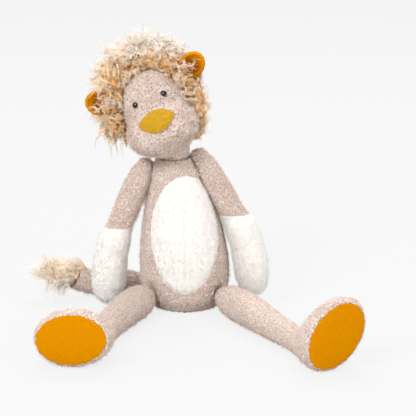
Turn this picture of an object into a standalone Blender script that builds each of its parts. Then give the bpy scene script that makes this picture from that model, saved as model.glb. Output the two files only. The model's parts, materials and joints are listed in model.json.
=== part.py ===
# A seated plush lion, built the way it is sewn: cloth covers over fillings, a long pile mane,
# linen soles, a felt nose and glossy eyes on shanks. Metres, +Z up, the face towards -Y and
# the lion's own left towards +X. The origin is the middle of the flat seat under the torso.

import math

import bmesh
import bpy
from mathutils import Matrix, Vector

# Cloth, seams and clearances
COVER_WALL = 0.0035
SEAM_GAP = 0.0003
MOVING_GAP = 0.0007
FLOOR_GAP = 0.0003
OVERRUN = 0.004
LIMB_STAND = 0.0092

# Torso
TORSO_HEIGHT = 0.228
TORSO_HALF_WIDTH = 0.063
TORSO_HALF_DEPTH = 0.061
TORSO_LEAN_SIDE = -0.015
TORSO_LEAN_FRONT = -0.024
BELLY_HALF_WIDTH = 0.047
BELLY_BOTTOM = 0.032
BELLY_BELOW_NECK = 0.029
BAG_RADIUS = 0.036
BAG_HEIGHT = 0.024

# Neck
NECK_RISE = 0.003
NECK_RADIUS = 0.023
NECK_TURN = math.radians(35)
NECK_TILT = math.radians(10)

# Head, in its own frame with the pivot at the origin
HEAD_FORWARD = 0.006
HEAD_SEAT = 0.008
HEAD_ROLL = math.radians(-22.5)
HEAD_YAW = math.radians(0)
HEAD_PITCH = math.radians(-8)
BROW_HALF_WIDTH = 0.0460
SKULL_HALF_DEPTH = 0.051
SKULL_HALF_HEIGHT = 0.064
MUZZLE_HALF_WIDTH = 0.0505
MUZZLE_HALF_DEPTH = 0.042
MUZZLE_HALF_HEIGHT = 0.034
MUZZLE_FORWARD = 0.032
MUZZLE_DROP = 0.023
FACE_ANGLE = math.radians(84)
THROAT_ANGLE = math.radians(118)

# Mane
PILE_SHORT = 0.013
PILE_LONG = 0.054
PILE_LEAN = math.radians(-18)

# Nose, eyes and ears
NOSE_HALF_WIDTH = 0.0265
NOSE_TOP = 0.0135
NOSE_BOTTOM = 0.0160
NOSE_DROP = 0.0060
NOSE_THICKNESS = 0.0045
NOSE_EDGE = 0.0012
EYE_RADIUS = 0.0045
EYE_DOME = 0.0036
EYE_SPACING = 0.041
EYE_RISE = 0.0225
EYE_SEAT = 0.0009
SHANK_RADIUS = 0.0015
SHANK_LENGTH = 0.012
WASHER_RADIUS = 0.006
WASHER_THICKNESS = 0.0012
WASHER_SEAT = 0.0011
EAR_ANGLE = math.radians(58)
EAR_HALF_WIDTH = 0.0175
EAR_HALF_LENGTH = 0.0205
EAR_HALF_DEPTH = 0.010
EAR_WALL = 0.0040
EAR_STAND = 0.011
EAR_FORWARD = 0.012

# Arms
LEFT_SHOULDER_DROP = 0.008
RIGHT_SHOULDER_DROP = 0.022
ARM_ROOT_RADIUS = 0.013
ARM_RADIUS = 0.018
MITTEN_RADIUS = 0.0235
LEFT_ARM_LENGTH = 0.220
RIGHT_ARM_LENGTH = 0.209
WRIST_AT = 0.095
LEFT_HAND_SPREAD = 0.0755
RIGHT_HAND_SPREAD = 0.0400
HAND_BACK = 0.016
HAND_HEIGHT = 0.004
ARM_LIFT = math.radians(75)

# Legs
HIP_ANGLE = math.radians(36)
LEG_ROOT_RADIUS = 0.015
THIGH_RADIUS = 0.0235
ANKLE_RADIUS = 0.0165
LEFT_LEG_LENGTH = 0.303
RIGHT_LEG_LENGTH = 0.270
FOOT_LENGTH = 0.100
FOOT_HALF_LENGTH = 0.0540
FOOT_HALF_WIDTH = 0.0395
SOLE_BORDER = 0.0055
SOLE_CROWN = 0.0025
LEFT_LEG_TURNS = (math.radians(27), math.radians(29), math.radians(23))
RIGHT_LEG_TURNS = (math.radians(21), math.radians(14), math.radians(12))
LEFT_FOOT_ROLL = math.radians(-38)
RIGHT_FOOT_ROLL = math.radians(98)
KNEE_SHARE = 0.42
LEG_DROP = math.radians(-75)
LEG_LIFT = math.radians(40)

# Tail
TAIL_ANGLE = math.radians(-142)
TAIL_HEIGHT = 0.0195
TAIL_ROOT_RADIUS = 0.011
TAIL_RADIUS = 0.0190
TAIL_LENGTH = 0.112
TUFT_RADIUS = 0.025
TUFT_LENGTH = 0.068

# How finely the forms are divided
TORSO_SIDES = 24
HEAD_SIDES = 24
LIMB_SIDES = 14
FOOT_SIDES = 16
SMALL_SIDES = 12
ROUTE_STEPS = 24
FAN_STEPS = 13
TURN_STEPS = 5
YOKE_RINGS = 6
SMOOTH_ANGLE = math.radians(50)

# Pear of the torso: share of the height, share of the girth
TORSO_SHARES = (
    (0.0, 0.60), (0.025, 0.79), (0.085, 0.93), (0.20, 1.0), (0.34, 0.99), (0.49, 0.92),
    (0.64, 0.80), (0.78, 0.67), (0.89, 0.56), (0.96, 0.42), (0.992, 0.22),
)
# Face rows: share of the way from the tip of the face to the mane's seam
FACE_SHARES = (0.12, 0.25, 0.38, 0.50, 0.62, 0.74, 0.87, 1.0)
# Back of the head: share of the way from the mane's seam to the back
BACK_SHARES = (0.16, 0.36, 0.58, 0.80, 1.0)
# Mane: share of the way from its seam to the back, share of the pile's length
MANE_SHARES = (
    (-0.025, 0.30), (-0.045, 0.62), (-0.02, 0.88), (0.07, 1.0), (0.22, 1.0),
    (0.42, 0.93), (0.64, 0.86), (0.84, 0.82), (1.0, 0.80),
)
# Arm's route: share of the hand's way outwards, share of its way down
ARM_ROUTE_SHARES = ((0.55, 0.34), (0.90, 0.62), (1.02, 1.0))
# Arm: share of the upper arm's or mitten's length, share of the swelling between radii
UPPER_ARM_SHARES = ((0.12, 0.66), (0.30, 1.0), (0.64, 1.0), (1.0, 0.86))
MITTEN_SHARES = ((0.16, 0.92), (0.36, 0.94), (0.56, 1.0), (0.76, 0.97), (0.90, 0.78), (0.975, 0.42))
# Leg between the hip and the ankle: share of the length, share from root to thigh radius
LEG_SHARES = ((0.09, 0.75), (0.22, 1.0), (0.46, 0.88), (0.70, 0.52), (0.88, 0.27))
# Foot: share of its length, share of the swelling from the ankle to the foot's size
FOOT_SHARES = (
    (0.0, 0.0), (0.18, 0.10), (0.36, 0.32), (0.54, 0.62), (0.72, 0.88), (0.88, 1.0), (0.97, 0.91),
)
# Sole: share of its crown, share of its size
SOLE_SHARES = ((0.0, 1.0), (0.75, 0.6))
# Tail's route: shares of the tail's whole length to the side, to the back and upwards
TAIL_ROUTE_SHARES = (
    (0.210, 0.065, 0.0), (0.420, 0.040, 0.006), (0.560, -0.020, 0.060),
    (0.700, -0.070, 0.125), (0.880, -0.120, 0.140),
)
# Tail and tuft: share of the length, share of the radius
TAIL_SHARES = ((0.10, 0.80), (0.24, 0.97), (0.46, 1.0), (0.68, 0.98), (0.86, 0.94), (1.0, 0.91))
TUFT_SHARES = ((0.12, 0.74), (0.28, 0.92), (0.48, 1.0), (0.68, 0.90), (0.86, 0.55))


def clear_scene():
    for item in list(bpy.data.objects):
        bpy.data.objects.remove(item, do_unlink=True)


def make_material(name, colour, roughness):
    material = bpy.data.materials.new(name)
    material.use_nodes = True
    shader = material.node_tree.nodes["Principled BSDF"]
    shader.inputs["Base Color"].default_value = (*colour, 1)
    shader.inputs["Roughness"].default_value = roughness
    shader.inputs["Metallic"].default_value = 0
    return material


def make_materials():
    # Linear colours, as they look in soft daylight
    looks = {
        "boucle": ((0.58, 0.47, 0.41), 0.95),
        "plush": ((0.88, 0.85, 0.80), 0.95),
        "pile": ((0.72, 0.50, 0.29), 0.95),
        "linen": ((0.78, 0.36, 0.02), 0.85),
        "felt": ((0.58, 0.38, 0.03), 0.90),
        "filling": ((0.83, 0.82, 0.80), 1.0),
        "eye": ((0.012, 0.010, 0.009), 0.12),
        "washer": ((0.75, 0.75, 0.72), 0.45),
        "bag": ((0.62, 0.60, 0.55), 0.90),
    }
    return {name: make_material(name, colour, rough) for name, (colour, rough) in looks.items()}


def make_body(name, place, parent=None, turn=None):
    # An empty on the joint's axis carries every piece of one moving body.
    body = bpy.data.objects.new("body_" + name, None)
    bpy.context.scene.collection.objects.link(body)
    body.location = place
    if parent:
        body.parent = parent
        body.location = place - parent.location
    if turn:
        body.rotation_euler = turn.to_euler()
    return body


def make_piece(name, mesh, body, material):
    data = bpy.data.meshes.new(name)
    mesh.to_mesh(data)
    mesh.free()
    data.shade_smooth()
    data.set_sharp_from_angle(angle=SMOOTH_ANGLE)
    data.materials.append(material)
    piece = bpy.data.objects.new(name, data)
    bpy.context.scene.collection.objects.link(piece)
    piece.parent = body
    return piece


def make_cutter(name, mesh, body):
    data = bpy.data.meshes.new(name)
    mesh.to_mesh(data)
    mesh.free()
    cutter = bpy.data.objects.new(name, data)
    bpy.context.scene.collection.objects.link(cutter)
    cutter.parent = body
    cutter.hide_render = True
    cutter.display_type = "WIRE"
    return cutter


def cut(piece, cutter, operation="DIFFERENCE"):
    modifier = piece.modifiers.new(cutter.name, "BOOLEAN")
    modifier.operation = operation
    modifier.solver = "EXACT"
    modifier.object = cutter


def join_rows(mesh, near, far):
    # Triangles between two rows of points; every quad is split along the same diagonal,
    # so that a form and its inset copy stay parallel. A row of one point is a pole.
    sides = max(len(near), len(far))
    for index in range(sides):
        following = (index + 1) % sides
        if len(near) > 1:
            mesh.faces.new((near[index], near[following], far[following % len(far)]))
        if len(far) > 1:
            mesh.faces.new((near[index % len(near)], far[following], far[index]))


def add_skin(mesh, rings):
    rows = [[mesh.verts.new(point) for point in ring] for ring in rings]
    for near, far in zip(rows, rows[1:]):
        join_rows(mesh, near, far)
    return rows


def closed_mesh(rings):
    # A solid through rings of points, from one pole to the other.
    mesh = bmesh.new()
    add_skin(mesh, rings)
    bmesh.ops.recalc_face_normals(mesh, faces=mesh.faces)
    mesh.normal_update()
    return mesh


def cover_mesh(outer, inner):
    # A cloth wall between two skins, closed by a rim wherever the skins end in a ring.
    mesh = bmesh.new()
    outer_rows = add_skin(mesh, outer)
    inner_rows = add_skin(mesh, inner)
    for end in (0, -1):
        if len(outer_rows[end]) > 1:
            join_rows(mesh, outer_rows[end], inner_rows[end])
    bmesh.ops.recalc_face_normals(mesh, faces=mesh.faces)
    return mesh


def inset_rings(rings, depth):
    # The same rings, moved inwards along the form's own normals.
    mesh = closed_mesh(rings)
    mesh.verts.ensure_lookup_table()
    moved = []
    start = 0
    for ring in rings:
        vertices = mesh.verts[start:start + len(ring)]
        moved.append([vertex.co - vertex.normal * depth for vertex in vertices])
        start += len(ring)
    mesh.free()
    return moved


def drawn_back(rings):
    # A skin whose open ends are drawn back by half a seam, to leave the gap between two pieces.
    skin = [list(ring) for ring in rings]
    for end, neighbour in ((0, 1), (-1, -2)):
        if len(skin[end]) > 1:
            pairs = zip(skin[end], skin[neighbour] * len(skin[end]))
            skin[end] = [point + (goal - point).normalized() * SEAM_GAP / 2 for point, goal in pairs]
    return skin


def oval_ring(centre, across, upward, sides):
    ring = []
    for index in range(sides):
        angle = math.tau * index / sides
        ring.append(centre + across * math.cos(angle) + upward * math.sin(angle))
    return ring


def level_ring(radius, height, sides):
    return oval_ring(Vector((0, 0, height)), Vector((radius, 0, 0)), Vector((0, radius, 0)), sides)


def smooth_route(points):
    # A fine polyline along a smooth curve through the route's points.
    line = []
    last = len(points) - 1
    for index in range(last):
        start = points[index]
        end = points[index + 1]
        leave = (end - points[max(index - 1, 0)]) / 2
        arrive = (points[min(index + 2, last)] - start) / 2
        for step in range(ROUTE_STEPS):
            part = step / ROUTE_STEPS
            rise = part * part * (3 - 2 * part)
            swing = leave * (part * (1 - part) ** 2) - arrive * (part * part * (1 - part))
            line.append(start + (end - start) * rise + swing)
    line.append(points[-1])
    return line


def station(line, distance):
    # The place and the direction at a distance along a polyline; past its ends it runs straight.
    left = distance
    for start, end in zip(line, line[1:]):
        length = (end - start).length
        if left <= length or end is line[-1]:
            direction = (end - start) / length
            return start + direction * left, direction
        left -= length


def section(line, distance, half_across, half_upward, reference, roll=0.0):
    # The centre and the two half axes of a limb's cross section at a distance along its route.
    centre, direction = station(line, distance)
    across = direction.cross(reference).normalized()
    upward = across.cross(direction)
    turn = Matrix.Rotation(roll, 3, direction)
    return centre, turn @ across * half_across, turn @ upward * half_upward


def root_sections(radius):
    # The half ball at a limb's root: distance along the route and radius of each ring.
    return [(-radius * math.cos(turn), radius * math.sin(turn)) for turn in (math.pi / 5, math.pi / 2.8)]


def ball_mesh(centre, radius, sides):
    mesh = bmesh.new()
    bmesh.ops.create_uvsphere(
        mesh, u_segments=sides, v_segments=sides // 2, radius=radius, matrix=Matrix.Translation(centre)
    )
    bmesh.ops.triangulate(mesh, faces=mesh.faces)
    return mesh


def turned_mesh(profile, sides, place=None):
    # A body of revolution about +Z through (radius, height) points; zero radius is a pole.
    rings = []
    for radius, height in profile:
        rings.append(level_ring(radius, height, sides) if radius else [Vector((0, 0, height))])
    mesh = closed_mesh(rings)
    if place:
        mesh.transform(place)
    return mesh


def hull_mesh(mesh):
    # Wraps a cloud of points in its convex hull and drops what lies inside.
    result = bmesh.ops.convex_hull(mesh, input=mesh.verts)
    inside = [item for item in result["geom_interior"] if isinstance(item, bmesh.types.BMVert)]
    bmesh.ops.delete(mesh, geom=inside, context="VERTS")
    bmesh.ops.recalc_face_normals(mesh, faces=mesh.faces)


def fan_mesh(rings, axis, low, high):
    # The space that a limb sweeps near its root, as the hull of its grown rings at each angle.
    mesh = bmesh.new()
    for step in range(FAN_STEPS):
        turn = Matrix.Rotation(low + (high - low) * step / (FAN_STEPS - 1), 3, axis)
        for ring in rings:
            for point in ring:
                mesh.verts.new(turn @ point)
    hull_mesh(mesh)
    return mesh


# Torso

def torso_centre(height_share):
    # The torso leans over more and more towards its top.
    lean = Vector((TORSO_LEAN_SIDE, TORSO_LEAN_FRONT, 0)) * height_share ** 2
    return lean + Vector((0, 0, TORSO_HEIGHT * height_share))


def torso_rings():
    rings = [[Vector((0, 0, 0))]]
    for height_share, girth_share in TORSO_SHARES:
        across = Vector((TORSO_HALF_WIDTH * girth_share, 0, 0))
        forward = Vector((0, TORSO_HALF_DEPTH * girth_share, 0))
        rings.append(oval_ring(torso_centre(height_share), across, forward, TORSO_SIDES))
    rings.append([torso_centre(1)])
    return rings


def torso_girth_share(height_share):
    for (low, low_girth), (high, high_girth) in zip(TORSO_SHARES, TORSO_SHARES[1:]):
        if low <= height_share <= high:
            return low_girth + (high_girth - low_girth) * (height_share - low) / (high - low)
    return TORSO_SHARES[-1][1]


def root_place(height, angle):
    # Where a limb turns: a little outside the torso's skin, its angle running from the
    # lion's left towards the front.
    height_share = height / TORSO_HEIGHT
    girth_share = torso_girth_share(height_share)
    across = math.cos(angle) * (TORSO_HALF_WIDTH * girth_share + LIMB_STAND)
    forward = math.sin(angle) * (TORSO_HALF_DEPTH * girth_share + LIMB_STAND)
    return torso_centre(height_share) + Vector((across, -forward, 0))


def neck_pivot():
    return torso_centre(1) + Vector((0, 0, NECK_RISE))


def belly_window(margin):
    # An upright oval that is pushed through the front wall only.
    top = TORSO_HEIGHT - BELLY_BELOW_NECK
    middle = Vector((0, -TORSO_HALF_DEPTH / 2, (BELLY_BOTTOM + top) / 2))
    reach = Vector((0, -TORSO_HALF_DEPTH, 0))
    across = Vector((BELLY_HALF_WIDTH + margin, 0, 0))
    upward = Vector((0, 0, (top - BELLY_BOTTOM) / 2 + margin))
    rings = [oval_ring(centre, across, upward, TORSO_SIDES) for centre in (middle, middle + reach)]
    return closed_mesh([[middle]] + rings + [[middle + reach]])


def bag_profile(margin):
    floor = COVER_WALL + SEAM_GAP - margin
    top = BAG_HEIGHT + margin
    wide = BAG_RADIUS + margin
    shoulder = (floor + top) / 2
    narrow = wide * math.cos(math.pi / 4)
    return [(0, floor), (narrow, floor), (wide, shoulder), (narrow, top - margin), (0, top)]


def build_torso(body, fans, materials):
    outer = torso_rings()
    inner = inset_rings(outer, COVER_WALL)
    filled = inset_rings(outer, COVER_WALL + SEAM_GAP)
    hollow = make_cutter("torso_hollow", closed_mesh(inner), body)
    window = make_cutter("belly_window", belly_window(SEAM_GAP / 2), body)
    panel_edge = make_cutter("belly_edge", belly_window(-SEAM_GAP / 2), body)
    seat = make_cutter("neck_seat", ball_mesh(neck_pivot(), NECK_RADIUS + MOVING_GAP, TORSO_SIDES), body)
    pocket = make_cutter("bag_pocket", turned_mesh(bag_profile(SEAM_GAP), TORSO_SIDES), body)

    cover = make_piece("torso_cover", closed_mesh(outer), body, materials["boucle"])
    cut(cover, window)
    cut(cover, hollow)
    panel = make_piece("belly_panel", closed_mesh(outer), body, materials["plush"])
    cut(panel, panel_edge, "INTERSECT")
    cut(panel, hollow)
    filling = make_piece("torso_filling", closed_mesh(filled), body, materials["filling"])
    cut(filling, pocket)
    for piece in (cover, panel, filling):
        cut(piece, seat)
        for fan in fans:
            cut(piece, fan)
    make_piece("pellet_bag", turned_mesh(bag_profile(0), TORSO_SIDES), body, materials["bag"])


def shoulder_yoke(body):
    # The space that the chest and the shoulders take up as the head turns and tilts.
    points = []
    for ring in inset_rings(torso_rings(), -MOVING_GAP)[-YOKE_RINGS:]:
        points += ring
    for side in (1, -1):
        for ring in arm_rings(side, -MOVING_GAP)[:wrist_ring()]:
            points += [point + shoulder(side) for point in ring]
    mesh = bmesh.new()
    for step in range(TURN_STEPS):
        turn = Matrix.Rotation(NECK_TURN * (2 * step / (TURN_STEPS - 1) - 1), 3, "Z")
        for tilt in (-NECK_TILT, 0, NECK_TILT):
            seen = (turn @ Matrix.Rotation(tilt, 3, "Y")).inverted()
            for point in points:
                mesh.verts.new(seen @ (point - neck_pivot()))
    hull_mesh(mesh)
    return make_cutter("shoulder_yoke", mesh, body)


def build_neck(body, materials):
    make_piece("neck_filling", ball_mesh(Vector(), NECK_RADIUS, LIMB_SIDES), body, materials["filling"])


# Head

def ray_to_oval(direction, half_axes, centre=Vector()):
    # How far a ray from the head's centre runs inside an oval; zero if it misses.
    scaled = Vector([value / half for value, half in zip(direction, half_axes)])
    offset = Vector([value / half for value, half in zip(centre, half_axes)])
    along = scaled.dot(offset)
    square = along * along - scaled.dot(scaled) * (offset.dot(offset) - 1)
    if square <= 0 or along + math.sqrt(square) <= 0:
        return 0.0
    return (along + math.sqrt(square)) / scaled.dot(scaled)


def head_radius(direction):
    # The skull and the muzzle, blended softly where they meet.
    skull = ray_to_oval(direction, (BROW_HALF_WIDTH, SKULL_HALF_DEPTH, SKULL_HALF_HEIGHT))
    muzzle_centre = Vector((0, -MUZZLE_FORWARD, -MUZZLE_DROP))
    muzzle_axes = (MUZZLE_HALF_WIDTH, MUZZLE_HALF_DEPTH, MUZZLE_HALF_HEIGHT)
    muzzle = ray_to_oval(direction, muzzle_axes, muzzle_centre)
    softness = 9
    return (skull ** softness + muzzle ** softness) ** (1 / softness)


def head_direction(polar, around):
    # Polar angle from straight ahead, then round from the crown towards the lion's left.
    spread = math.sin(polar)
    return Vector((spread * math.sin(around), -math.cos(polar), spread * math.cos(around)))


def seam_angle(around):
    # The mane's seam runs over the crown and the cheeks, then back under the throat.
    low = (1 - math.cos(around)) / 2
    return FACE_ANGLE + (THROAT_ANGLE - FACE_ANGLE) * low ** 3


def head_ring(place_of):
    return [place_of(math.tau * index / HEAD_SIDES) for index in range(HEAD_SIDES)]


def head_centre():
    # The neck's pivot, the origin here, lies a little inside the underside of the skull.
    return Vector((0, -HEAD_FORWARD, SKULL_HALF_HEIGHT - HEAD_SEAT))


def head_point(direction, height=0.0):
    return head_centre() + direction * (head_radius(direction) + height)


def back_angle(around, share):
    return seam_angle(around) + (math.pi - seam_angle(around)) * share


def head_rings():
    rings = [[head_point(head_direction(0, 0))]]
    for share in FACE_SHARES:
        rings.append(head_ring(lambda around: head_point(head_direction(seam_angle(around) * share, around))))
    for share in BACK_SHARES[:-1]:
        rings.append(head_ring(lambda around: head_point(head_direction(back_angle(around, share), around))))
    rings.append([head_point(head_direction(math.pi, 0))])
    return rings


def pile_length(around):
    towards = (1 + math.cos(around - PILE_LEAN)) / 2
    return PILE_SHORT + (PILE_LONG - PILE_SHORT) * towards


def mane_rings(seam_ring):
    rings = [seam_ring]
    for share, pile_share in MANE_SHARES[:-1]:
        rings.append(head_ring(lambda around: head_point(
            head_direction(back_angle(around, share), around), pile_length(around) * pile_share
        )))
    back = (PILE_SHORT + PILE_LONG) / 2 * MANE_SHARES[-1][1]
    rings.append([head_point(head_direction(math.pi, 0), back)])
    return rings


def front_point(across, rise, height=0.0):
    # The point of the face at a sideways and an upward distance from the head's centre.
    near = 0.0
    far = MUZZLE_FORWARD + MUZZLE_HALF_DEPTH + SKULL_HALF_DEPTH
    for _ in range(40):
        middle = (near + far) / 2
        place = Vector((across, -middle, rise))
        if place.length < head_radius(place.normalized()):
            near = middle
        else:
            far = middle
    return head_point(Vector((across, -near, rise)).normalized(), height)


def nose_mesh():
    # A domed pad with pointed corners, drawn in upright slices a little into the muzzle,
    # whose own form then cuts its back.
    columns = 10
    rows = (-1, -0.55, 0, 0.55, 1)
    rings = []
    for column in range(1, columns):
        across_share = 2 * column / columns - 1
        across = NOSE_HALF_WIDTH * across_share
        taper = 1 - abs(across_share) ** 2.2
        outside = []
        inside = []
        for row in rows:
            rise = (NOSE_TOP if row > 0 else NOSE_BOTTOM) * row * taper - NOSE_DROP
            dome = NOSE_EDGE + (NOSE_THICKNESS - NOSE_EDGE) * (1 - row * row) * taper
            outside.append(front_point(across, rise, SEAM_GAP + dome))
            inside.append(front_point(across, rise, -COVER_WALL / 2))
        rings.append(outside + inside[::-1])
    corners = [front_point(side * NOSE_HALF_WIDTH, -NOSE_DROP, NOSE_EDGE / 2) for side in (-1, 1)]
    return closed_mesh([[corners[0]]] + rings + [[corners[1]]])


def eye_place(side):
    # A frame on the cover at the eye, its Z axis pointing straight out.
    across = side * EYE_SPACING / 2
    point = front_point(across, EYE_RISE)
    level = front_point(across + EYE_RADIUS, EYE_RISE) - front_point(across - EYE_RADIUS, EYE_RISE)
    upright = front_point(across, EYE_RISE + EYE_RADIUS) - front_point(across, EYE_RISE - EYE_RADIUS)
    outward = level.cross(upright).normalized()
    return Matrix.Translation(point) @ outward.to_track_quat("Z", "Y").to_matrix().to_4x4()


def eye_profile():
    profile = [(0, EYE_SEAT + EYE_DOME)]
    for angle in (math.radians(26), math.radians(52), math.radians(76)):
        profile.append((EYE_RADIUS * math.sin(angle), EYE_SEAT + EYE_DOME * math.cos(angle)))
    profile += [(EYE_RADIUS, EYE_SEAT), (SHANK_RADIUS, EYE_SEAT)]
    profile += [(SHANK_RADIUS, -SHANK_LENGTH), (0, -SHANK_LENGTH)]
    return profile


def eye_pocket_profile():
    hole = SHANK_RADIUS + SEAM_GAP
    pocket = WASHER_RADIUS + SEAM_GAP
    shelf = -(COVER_WALL + WASHER_SEAT + WASHER_THICKNESS + SEAM_GAP)
    bottom = -(SHANK_LENGTH + SEAM_GAP)
    return [(0, OVERRUN), (pocket, OVERRUN), (pocket, shelf), (hole, shelf), (hole, bottom), (0, bottom)]


def washer_mesh(place):
    top = -(COVER_WALL + WASHER_SEAT)
    bottom = top - WASHER_THICKNESS
    bore = SHANK_RADIUS + SEAM_GAP / 2
    corners = ((bore, top), (WASHER_RADIUS, top), (WASHER_RADIUS, bottom), (bore, bottom))
    rings = [level_ring(radius, height, SMALL_SIDES) for radius, height in corners]
    mesh = bmesh.new()
    rows = add_skin(mesh, rings)
    join_rows(mesh, rows[-1], rows[0])
    bmesh.ops.recalc_face_normals(mesh, faces=mesh.faces)
    mesh.transform(place)
    return mesh


def ear_frame(side):
    # The ear stands in the front of the mane at the side of the crown, its length pointing
    # away from the head's centre.
    outward = Vector((side * math.sin(EAR_ANGLE), 0, math.cos(EAR_ANGLE)))
    forward = Vector((0, -1, 0))
    across = outward.cross(forward)
    turn = Matrix((across, outward, forward)).transposed().to_4x4()
    place = head_point(outward, EAR_HALF_LENGTH + EAR_STAND) + forward * EAR_FORWARD
    return Matrix.Translation(place) @ turn


def ear_mesh(side, wall):
    mesh = bmesh.new()
    bmesh.ops.create_uvsphere(mesh, u_segments=LIMB_SIDES, v_segments=SMALL_SIDES, radius=1)
    bmesh.ops.triangulate(mesh, faces=mesh.faces)
    size = Matrix.Diagonal((EAR_HALF_WIDTH - wall, EAR_HALF_LENGTH - wall, EAR_HALF_DEPTH - wall / 2, 1))
    cup = Matrix.Translation((0, 0, wall * 1.5))
    mesh.transform(ear_frame(side) @ cup @ size)
    return mesh


def build_head(body, yoke, materials):
    outer = head_rings()
    inner = inset_rings(outer, COVER_WALL)
    filled = inset_rings(outer, COVER_WALL + SEAM_GAP)
    seam = len(FACE_SHARES)
    socket = make_cutter("neck_socket", ball_mesh(Vector(), NECK_RADIUS + MOVING_GAP, TORSO_SIDES), body)
    around_head = make_cutter("head_form", closed_mesh(inset_rings(outer, -SEAM_GAP)), body)

    face = cover_mesh(drawn_back(outer[:seam + 1]), drawn_back(inner[:seam + 1]))
    cover = make_piece("head_cover", face, body, materials["boucle"])
    mane_outside = drawn_back(mane_rings(outer[seam]))
    backing = drawn_back(inner[seam:])
    seam_back = drawn_back(outer[seam:])[0]
    mane_outside[0] = seam_back
    mane = make_piece("mane", cover_mesh(mane_outside, backing), body, materials["pile"])
    filling = make_piece("head_filling", closed_mesh(filled), body, materials["filling"])
    for piece in (cover, mane, filling):
        cut(piece, socket)
        cut(piece, yoke)
    nose = make_piece("nose", nose_mesh(), body, materials["felt"])
    cut(nose, around_head)

    for name, side in (("left", 1), ("right", -1)):
        place = eye_place(side)
        pocket = turned_mesh(eye_pocket_profile(), SMALL_SIDES, place)
        cut(filling, make_cutter("eye_pocket_" + name, pocket, body))
        hole_reach = COVER_WALL + OVERRUN
        hole = SHANK_RADIUS + SEAM_GAP
        hole_profile = [(0, OVERRUN), (hole, OVERRUN), (hole, -hole_reach), (0, -hole_reach)]
        cut(cover, make_cutter("eye_hole_" + name, turned_mesh(hole_profile, SMALL_SIDES, place), body))
        make_piece("eye_" + name, turned_mesh(eye_profile(), SMALL_SIDES, place), body, materials["eye"])
        make_piece("eye_washer_" + name, washer_mesh(place), body, materials["washer"])
        ear = make_piece("ear_" + name, ear_mesh(side, 0), body, materials["linen"])
        cut(ear, make_cutter("ear_hollow_" + name, ear_mesh(side, EAR_WALL), body))
        cut(ear, around_head)
        clearance = make_cutter("ear_slot_" + name, ear_mesh(side, -SEAM_GAP), body)
        cut(mane, clearance)


# Arms

def shoulder(side):
    # The torso leans towards its right, which lifts the left shoulder.
    drop = {1: LEFT_SHOULDER_DROP, -1: RIGHT_SHOULDER_DROP}[side]
    return root_place(TORSO_HEIGHT - drop, 0 if side > 0 else math.pi)


def arm_length(side):
    # The left arm hangs at its full length and the right one is a little slumped.
    return {1: LEFT_ARM_LENGTH, -1: RIGHT_ARM_LENGTH}[side]


def arm_route(side):
    # From the shoulder down the flank to just off the floor. An arm too long to hang
    # straight slides outwards until its hand clears the floor.
    spread = {1: LEFT_HAND_SPREAD, -1: RIGHT_HAND_SPREAD}[side]
    down = math.sqrt(arm_length(side) ** 2 - spread ** 2)
    room = shoulder(side).z - HAND_HEIGHT
    if down > room:
        down = room
        spread = math.sqrt(arm_length(side) ** 2 - room ** 2)
    points = [Vector()]
    for out_share, down_share in ARM_ROUTE_SHARES:
        points.append(Vector((side * spread * out_share, HAND_BACK * down_share, -down * down_share)))
    return smooth_route(points)


def arm_rings(side, inset=0.0):
    line = arm_route(side)
    rows = root_sections(ARM_ROOT_RADIUS)
    rows.append((0, ARM_ROOT_RADIUS))
    for share, swell in UPPER_ARM_SHARES:
        rows.append((share * WRIST_AT, ARM_ROOT_RADIUS + (ARM_RADIUS - ARM_ROOT_RADIUS) * swell))
    for share, swell in MITTEN_SHARES:
        rows.append((WRIST_AT + share * (arm_length(side) - WRIST_AT), MITTEN_RADIUS * swell))
    rings = [[station(line, -ARM_ROOT_RADIUS)[0]]]
    for distance, radius in rows:
        rings.append(oval_ring(*section(line, distance, radius, radius, Vector((0, 1, 0))), LIMB_SIDES))
    rings.append([station(line, arm_length(side))[0]])
    return inset_rings(rings, inset) if inset else rings


def arm_axis(side):
    # Level and square to the way forwards and outwards, so that the arm lifts clear of the leg.
    return Vector((-1, -side, 0)).normalized()


def wrist_ring():
    return len(root_sections(ARM_ROOT_RADIUS)) + len(UPPER_ARM_SHARES) + 1


def build_arm(name, side, body, materials):
    outer = arm_rings(side)
    inner = arm_rings(side, COVER_WALL)
    wrist = wrist_ring()
    sleeve = cover_mesh(drawn_back(outer[:wrist + 1]), drawn_back(inner[:wrist + 1]))
    make_piece("upper_arm_" + name, sleeve, body, materials["boucle"])
    mitten = cover_mesh(drawn_back(outer[wrist:]), drawn_back(inner[wrist:]))
    make_piece("mitten_" + name, mitten, body, materials["plush"])
    filled = closed_mesh(arm_rings(side, COVER_WALL + SEAM_GAP))
    make_piece("arm_filling_" + name, filled, body, materials["filling"])


def arm_fan(name, side, body):
    sleeve = arm_rings(side, -MOVING_GAP)[:wrist_ring() + 1]
    return make_cutter("arm_fan_" + name, fan_mesh(sleeve, arm_axis(side), 0, ARM_LIFT), body)


# Legs

def hip(side):
    return root_place(THIGH_RADIUS + FLOOR_GAP, HIP_ANGLE if side > 0 else math.pi - HIP_ANGLE)


def leg_route(side):
    # Outwards and forwards over the floor: thigh, shin and foot, each with its own turn.
    turns = {1: LEFT_LEG_TURNS, -1: RIGHT_LEG_TURNS}[side]
    length = {1: LEFT_LEG_LENGTH, -1: RIGHT_LEG_LENGTH}[side]
    thigh = length * KNEE_SHARE
    points = [Vector()]
    for turn, stretch in zip(turns, (thigh, length - FOOT_LENGTH - thigh, FOOT_LENGTH)):
        points.append(points[-1] + Vector((side * math.sin(turn), -math.cos(turn), 0)) * stretch)
    return smooth_route(points), length


def foot_roll(side):
    # The left foot leans a little outwards, the right one has rolled over onto its side.
    return {1: LEFT_FOOT_ROLL, -1: RIGHT_FOOT_ROLL}[side]


def foot_reach(half_width, half_length, roll):
    # How far an oval section reaches below its centre once it is rolled over.
    return math.hypot(half_width * math.sin(roll), half_length * math.cos(roll))


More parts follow.
